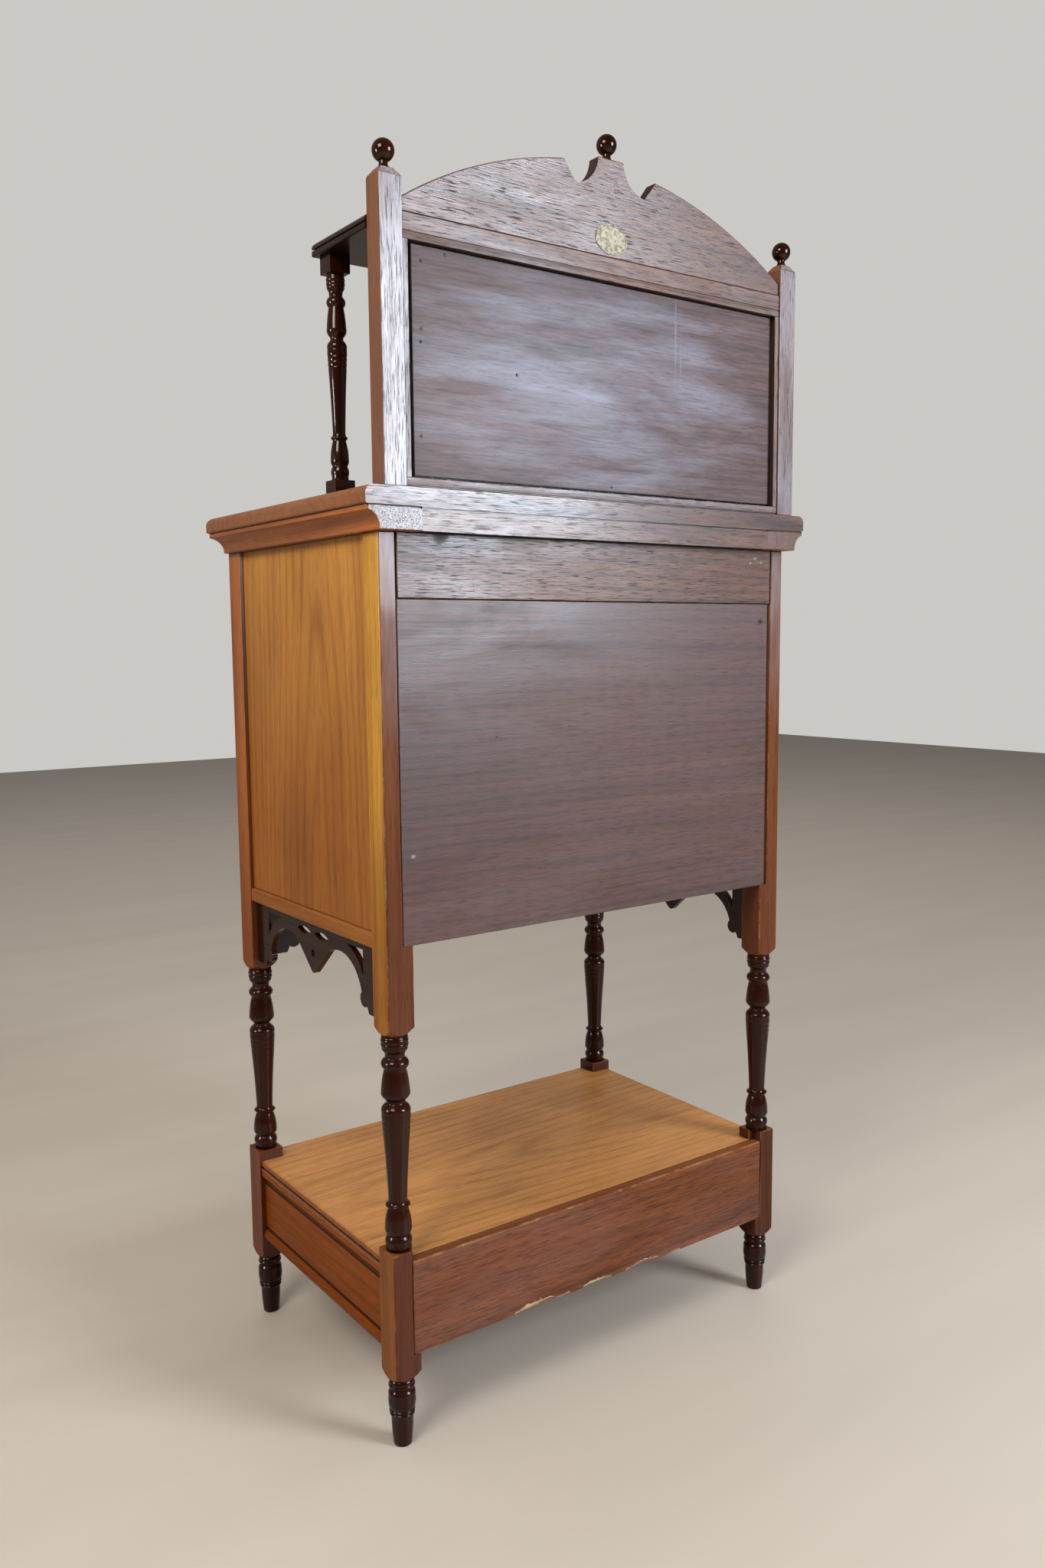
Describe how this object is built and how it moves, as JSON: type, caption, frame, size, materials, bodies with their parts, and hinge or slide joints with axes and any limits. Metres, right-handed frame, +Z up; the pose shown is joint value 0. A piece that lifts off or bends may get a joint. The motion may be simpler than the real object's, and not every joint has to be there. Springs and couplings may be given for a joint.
{
  "type": "side cabinet",
  "caption": "Tall wooden side cabinet: door cupboard on turned legs with pierced fretwork, drawer base with a shelf, and a mirror-backed gallery with pediment, finials and small shelf.",
  "frame": {"origin": "on the floor, below the middle of the cornice's outline (centre of the bounding box's bottom face)", "axes": "+Z up; front towards -Y; +X on the right of a person who faces the front"},
  "size_m": [0.644, 0.416, 1.4595],
  "materials": {
    "post_wood": "old varnish, near-black red-brown on the turned lengths",
    "side_wood": "honey-brown varnish, worn",
    "dark_wood": "near-black stain, polished",
    "back_wood": "thin greyish-brown stain, open grain, dull sheen",
    "inner_wood": "bare, matt",
    "mirror": "old silvered glass",
    "brass": "aged",
    "gilt_plate": "pale, plain, no lettering",
    "steel": "dull"
  },
  "bodies": {
    "cabinet": {"back_panel": "back_wood", "back_top_rail": "back_wood", "base_back_apron": "back_wood", "base_front_rail": "side_wood", "base_left_apron": "side_wood", "base_right_apron": "side_wood", "cabinet_bottom": "inner_wood", "cornice_back_rail": "back_wood", "cornice_front_moulding": "side_wood", "cornice_side_mouldings": "side_wood", "drawer_runners": "inner_wood", "finials": "dark_wood", "front_bottom_rail": "side_wood", "front_fretwork": "dark_wood", "front_frieze_rail": "side_wood", "front_left_post": "post_wood", "front_right_post": "post_wood", "gallery_back_board": "back_wood", "gallery_bottom_rail": "back_wood", "gallery_left_post": "back_wood", "gallery_right_post": "back_wood", "gallery_shelf": "dark_wood", "gallery_spindles": "dark_wood", "gallery_stiles": "back_wood", "gallery_top_rail": "back_wood", "inner_shelf": "inner_wood", "left_fretwork": "dark_wood", "left_hinge_post_leaves": "brass", "left_side_panel": "side_wood", "lower_shelf": "side_wood", "mirror_bead": "side_wood", "mirror_glass": "mirror", "oval_plate": "gilt_plate", "pediment": "back_wood", "rear_left_post": "post_wood", "rear_right_post": "post_wood", "right_fretwork": "dark_wood", "right_hinge_post_leaves": "brass", "right_side_panel": "side_wood", "shelf_battens": "inner_wood", "side_bottom_rails": "side_wood", "top_board": "side_wood"},
    "right_door": {"right_door_stiles": "side_wood", "right_door_rails": "side_wood", "right_door_panel": "side_wood", "right_hinge_door_leaves": "brass", "lock_case": "steel", "escutcheon": "brass"},
    "left_door": {"left_door_stiles": "side_wood", "left_door_rails": "side_wood", "left_door_panel": "side_wood", "left_hinge_door_leaves": "brass", "left_bolt_plate": "brass"},
    "lock_bolt": {"lock_bolt": "steel"},
    "door_key": {"door_key": "brass"},
    "left_bolt": {"left_bolt_rod": "brass"},
    "drawer": {"drawer_front": "side_wood", "drawer_sides_and_back": "inner_wood", "drawer_bottom": "inner_wood", "drawer_knobs": "dark_wood"}
  },
  "joints": [
    {"name": "right_door_hinge", "type": "hinge", "parent": "cabinet", "child": "right_door", "pos_m": [0.2665, -0.1956, 0.8], "axis": [0, 0, 1], "range_deg": [0, 105]},
    {"name": "left_door_hinge", "type": "hinge", "parent": "cabinet", "child": "left_door", "pos_m": [-0.2665, -0.1956, 0.8], "axis": [0, 0, -1], "range_deg": [0, 105]},
    {"name": "key_turn", "type": "hinge", "parent": "right_door", "child": "door_key", "pos_m": [0.023, -0.18, 0.812], "axis": [0, -1, 0], "range_deg": [0, 90]},
    {"name": "lock_bolt_slide", "type": "slide", "parent": "right_door", "child": "lock_bolt", "axis": [-1, 0, 0], "range_m": [0, 0.012]},
    {"name": "left_bolt_slide", "type": "slide", "parent": "left_door", "child": "left_bolt", "axis": [0, 0, 1], "range_m": [0, 0.01]},
    {"name": "drawer_slide", "type": "slide", "parent": "cabinet", "child": "drawer", "axis": [0, -1, 0], "range_m": [0, 0.24]}
  ],
  "couplings": [
    {"joint": "key_turn", "follows": "lock_bolt_slide", "rad_per_m": 130.89}
  ]
}
